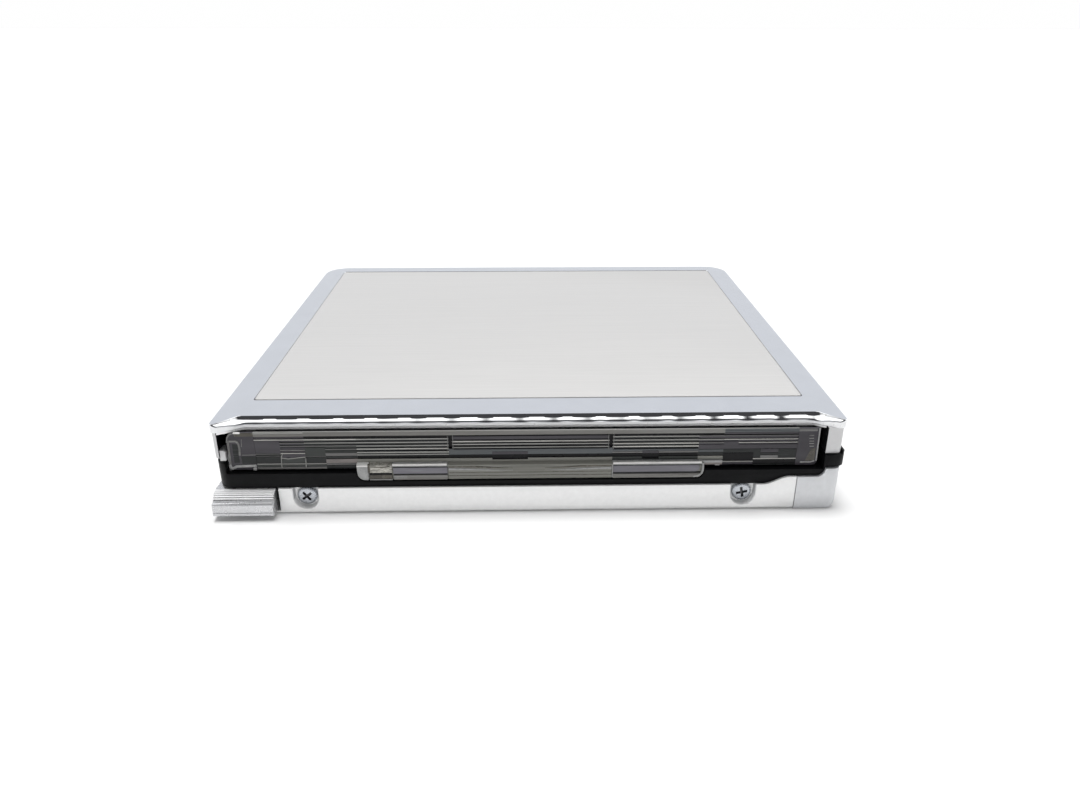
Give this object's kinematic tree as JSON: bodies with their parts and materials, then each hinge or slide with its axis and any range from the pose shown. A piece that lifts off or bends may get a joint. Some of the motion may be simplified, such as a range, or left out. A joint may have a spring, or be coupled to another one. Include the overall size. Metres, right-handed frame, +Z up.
{
  "type": "portable minidisc player",
  "caption": "Slim square clamshell minidisc player with a polished lid, smoked grooved front window, pop-up disc holder, corner thumb slider and battery door.",
  "frame": {"origin": "centre of the lid outline, in the plane of the flat underside", "axes": "+Z up; -Y toward the front with the window; +X to the right as seen from the front"},
  "size_m": [0.0791, 0.0744, 0.0122],
  "materials": {
    "lid_chrome": "polished",
    "panel_aluminium": "hairline brushed",
    "silver_paint": "satin silver paint",
    "door_paint": "satin silver paint, slightly bluer",
    "smoked_clear": "smoked clear",
    "black_resin": "satin",
    "spring_steel": "rolled sheet",
    "bright_steel": "bright",
    "slider_chrome": "mirror",
    "turntable_metal": "turned",
    "magnet_dark": "sintered",
    "stator_resin": "moulded",
    "sled_metal": "die cast",
    "actuator_black": "moulded",
    "lens_glass": "coated",
    "board_green": "solder mask",
    "chip_black": "moulded",
    "damper_rubber": "matte",
    "cell_wrap": "shrink wrap",
    "contact_gold": "gold plated",
    "key_silver": "satin"
  },
  "bodies": {
    "base": {"bottom_case": "silver_paint", "mid_frame": "black_resin", "headphone_jack": "black_resin", "screw_bearing": "black_resin", "mechanism_deck": "spring_steel", "lift_spring": "spring_steel", "hinge_pins": "bright_steel", "deck_screws": "bright_steel", "front_screws": "bright_steel", "bottom_screws": "bright_steel", "guide_shafts": "bright_steel", "battery_door_pin": "bright_steel", "slider_spring": "bright_steel", "sled_motor": "bright_steel", "spindle_stator": "stator_resin", "main_board": "board_green", "key_board": "board_green", "board_chips": "chip_black", "deck_dampers": "damper_rubber", "battery_cell": "cell_wrap", "battery_contacts": "contact_gold", "charge_contacts": "contact_gold", "key_domes": "contact_gold"},
    "lid": {"lid_frame": "lid_chrome", "lid_panel": "panel_aluminium", "lid_rail_left": "silver_paint", "lid_rail_right": "silver_paint", "lid_rear_skirt": "silver_paint", "lid_window": "smoked_clear", "window_retainer": "silver_paint", "lid_hook": "spring_steel"},
    "disc_holder": {"holder_plate": "spring_steel", "holder_channel_left": "spring_steel", "holder_channel_right": "spring_steel"},
    "open_slider": {"open_slider": "slider_chrome"},
    "battery_door": {"battery_door": "door_paint", "door_contact": "contact_gold"},
    "spindle": {"spindle_rotor": "bright_steel", "turntable": "turntable_metal", "chucking_magnet": "magnet_dark"},
    "sled": {"pickup_sled": "sled_metal", "lens_actuator": "actuator_black", "objective_lens": "lens_glass"},
    "lead_screw": {"lead_screw": "bright_steel"},
    "key_play": {"key_play": "key_silver"},
    "key_back": {"key_back": "key_silver"},
    "key_next": {"key_next": "key_silver"},
    "hold_switch": {"hold_switch": "black_resin"}
  },
  "joints": [
    {"name": "lid_hinge", "type": "hinge", "parent": "base", "child": "lid", "pos_m": [0, 0.03305, 0.0087], "axis": [-1, 0, 0], "range_deg": [0, 28]},
    {"name": "holder_hinge", "type": "hinge", "parent": "base", "child": "disc_holder", "pos_m": [0, 0.03305, 0.0087], "axis": [-1, 0, 0], "range_deg": [0, 13]},
    {"name": "open_slide", "type": "slide", "parent": "base", "child": "open_slider", "axis": [0, 1, 0], "range_m": [0, 0.002], "stiffness_N_per_m": 250, "deforming": ["slider_spring"]},
    {"name": "battery_door_hinge", "type": "hinge", "parent": "base", "child": "battery_door", "pos_m": [0.0378, -0.01405, 0.0028], "axis": [0, 0, 1], "range_deg": [0, 90]},
    {"name": "spindle_spin", "type": "hinge", "parent": "base", "child": "spindle", "pos_m": [0, 0.00015, 0.003], "axis": [0, 0, 1], "continuous": true},
    {"name": "sled_slide", "type": "slide", "parent": "base", "child": "sled", "axis": [1, 0, 0], "range_m": [0, 0.0145]},
    {"name": "screw_spin", "type": "hinge", "parent": "base", "child": "lead_screw", "pos_m": [0.02, 0.01715, 0.00285], "axis": [1, 0, 0], "range_deg": [-20, 2300]},
    {"name": "hold_slide", "type": "slide", "parent": "base", "child": "hold_switch", "axis": [0, 1, 0], "range_m": [0, 0.0016]},
    {"name": "key_play_press", "type": "slide", "parent": "base", "child": "key_play", "axis": [1, 0, 0], "range_m": [0, 0.0003], "stiffness_N_per_m": 400},
    {"name": "key_back_press", "type": "slide", "parent": "base", "child": "key_back", "axis": [1, 0, 0], "range_m": [0, 0.0003], "stiffness_N_per_m": 400},
    {"name": "key_next_press", "type": "slide", "parent": "base", "child": "key_next", "axis": [1, 0, 0], "range_m": [0, 0.0003], "stiffness_N_per_m": 400}
  ],
  "couplings": [
    {"joint": "holder_hinge", "follows": "lid_hinge", "ratio": 0.45},
    {"joint": "screw_spin", "follows": "sled_slide", "rad_per_m": 2731.8}
  ]
}
